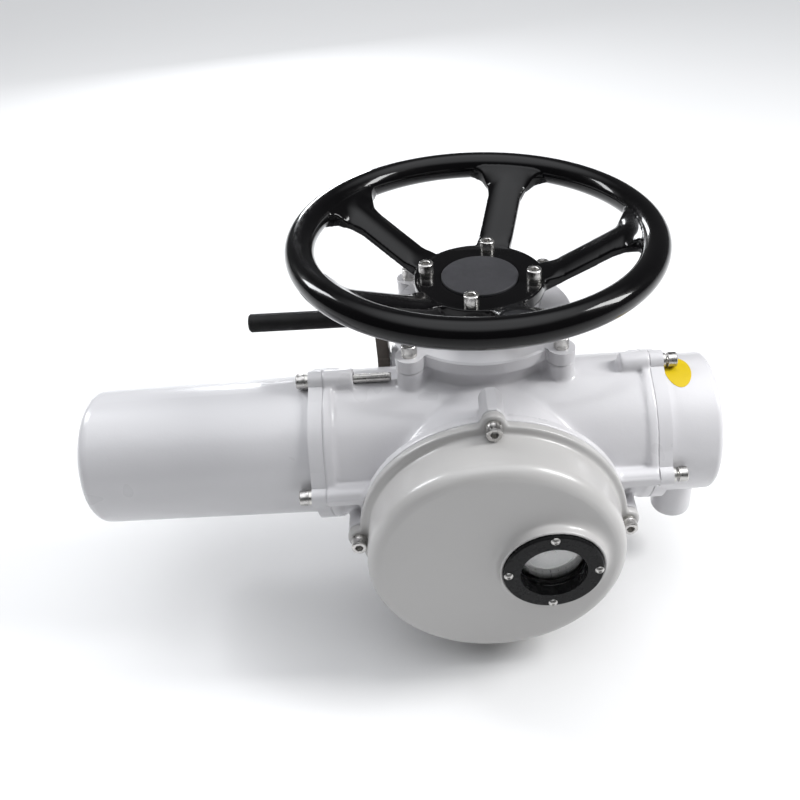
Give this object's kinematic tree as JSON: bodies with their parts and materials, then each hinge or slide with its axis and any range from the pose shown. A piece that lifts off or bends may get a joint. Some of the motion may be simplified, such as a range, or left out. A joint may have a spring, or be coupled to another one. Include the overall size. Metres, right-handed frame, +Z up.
{
  "type": "motorized valve actuator",
  "caption": "Electric multi-turn valve actuator with a top handwheel, side motor, terminal housing, front control cover with round position window and hand/auto lever.",
  "frame": {"origin": "centre of the valve flange's bottom face, on the output drive's axis", "axes": "+Z up along the output drive to the handwheel, +X from the output drive towards the terminal compartment, -Y out of the control compartment's window"},
  "size_m": [0.536, 0.363, 0.342],
  "materials": {
    "enamel": "light grey enamel, satin gloss",
    "enamel_motor": "grey enamel, satin gloss",
    "enamel_control": "light grey enamel, satin gloss",
    "wheel_black": "gloss black paint",
    "cap_grey": "matte",
    "screw_steel": "plated",
    "washer_steel": "plated",
    "seal_rubber": "matte",
    "bezel_black": "satin",
    "window_glass": "clear",
    "label_yellow": "satin print",
    "bearing_steel": "ground",
    "shaft_steel": "machined",
    "core_steel": "laminated",
    "winding_copper": "varnished",
    "gear_bronze": "machined",
    "inner_aluminium": "machined",
    "inner_plastic": "moulded",
    "board_green": "solder mask",
    "contact_brass": "plated",
    "dial_white": "matte print",
    "crank_dark": "satin",
    "grip_black": "matte"
  },
  "bodies": {
    "housing": {"gear_housing": "enamel", "top_cover": "enamel", "motor_cover": "enamel_motor", "terminal_cover": "enamel", "control_cover": "enamel_control", "top_cover_seal": "seal_rubber", "motor_cover_seal": "seal_rubber", "terminal_cover_seal": "seal_rubber", "control_cover_seal": "seal_rubber", "top_cover_bolts": "screw_steel", "motor_cover_bolts": "screw_steel", "terminal_cover_bolts": "screw_steel", "control_cover_bolts": "screw_steel", "top_cover_washers": "washer_steel", "motor_cover_washers": "washer_steel", "terminal_cover_washers": "washer_steel", "control_cover_washers": "washer_steel", "window_bezel": "bezel_black", "window_glass": "window_glass", "window_gasket": "seal_rubber", "bezel_screws": "screw_steel", "oval_label": "label_yellow", "lower_bearing": "bearing_steel", "middle_bearing": "bearing_steel", "hand_bearing": "bearing_steel", "output_seal": "seal_rubber", "hand_seal": "seal_rubber", "lever_seal": "seal_rubber", "worm_bearings": "bearing_steel", "motor_endshield": "inner_aluminium", "motor_bearings": "bearing_steel", "stator_core": "core_steel", "stator_windings": "winding_copper", "control_plate": "inner_aluminium", "reduction_box": "inner_plastic", "limit_switches": "inner_plastic", "torque_switches": "inner_plastic", "control_board": "board_green", "terminal_plate": "inner_aluminium", "terminal_block": "inner_plastic", "terminal_screws": "contact_brass"},
    "handwheel": {"handwheel": "wheel_black", "hub_cap": "cap_grey", "hub_bolts": "screw_steel", "hub_washers": "washer_steel", "hand_sleeve": "shaft_steel"},
    "clutch_lever": {"lever_shaft": "shaft_steel", "crank_arm": "crank_dark", "grip_rod": "shaft_steel", "lever_grip": "grip_black"},
    "motor_drive": {"worm_shaft": "shaft_steel", "worm": "gear_bronze", "rotor_core": "core_steel", "disc_springs": "washer_steel"},
    "output_drive": {"output_sleeve": "shaft_steel", "worm_wheel": "gear_bronze"},
    "clutch": {"clutch_ring": "shaft_steel"},
    "dial": {"position_dial": "dial_white"}
  },
  "joints": [
    {"name": "handwheel_turn", "type": "hinge", "parent": "housing", "child": "handwheel", "pos_m": [0, 0, 0.33], "axis": [0, 0, 1], "continuous": true},
    {"name": "clutch_lever_swing", "type": "hinge", "parent": "housing", "child": "clutch_lever", "pos_m": [-0.09, 0.02, 0.192], "axis": [-1, 0, 0], "range_deg": [0, 60]},
    {"name": "motor_spin", "type": "hinge", "parent": "housing", "child": "motor_drive", "pos_m": [0, -0.06, 0.164], "axis": [1, 0, 0], "continuous": true},
    {"name": "output_turn", "type": "hinge", "parent": "housing", "child": "output_drive", "pos_m": [0, 0, 0.1], "axis": [0, 0, 1], "continuous": true},
    {"name": "clutch_lift", "type": "slide", "parent": "output_drive", "child": "clutch", "axis": [0, 0, 1], "range_m": [0, 0.0101]},
    {"name": "dial_turn", "type": "hinge", "parent": "housing", "child": "dial", "pos_m": [0.0425, -0.16, 0.134], "axis": [0, -1, 0], "continuous": true}
  ],
  "couplings": [
    {"joint": "output_turn", "follows": "motor_spin", "ratio": 0.025},
    {"joint": "dial_turn", "follows": "motor_spin", "ratio": 0.001},
    {"joint": "clutch_lift", "follows": "clutch_lever_swing", "m_per_rad": 0.0095493}
  ]
}
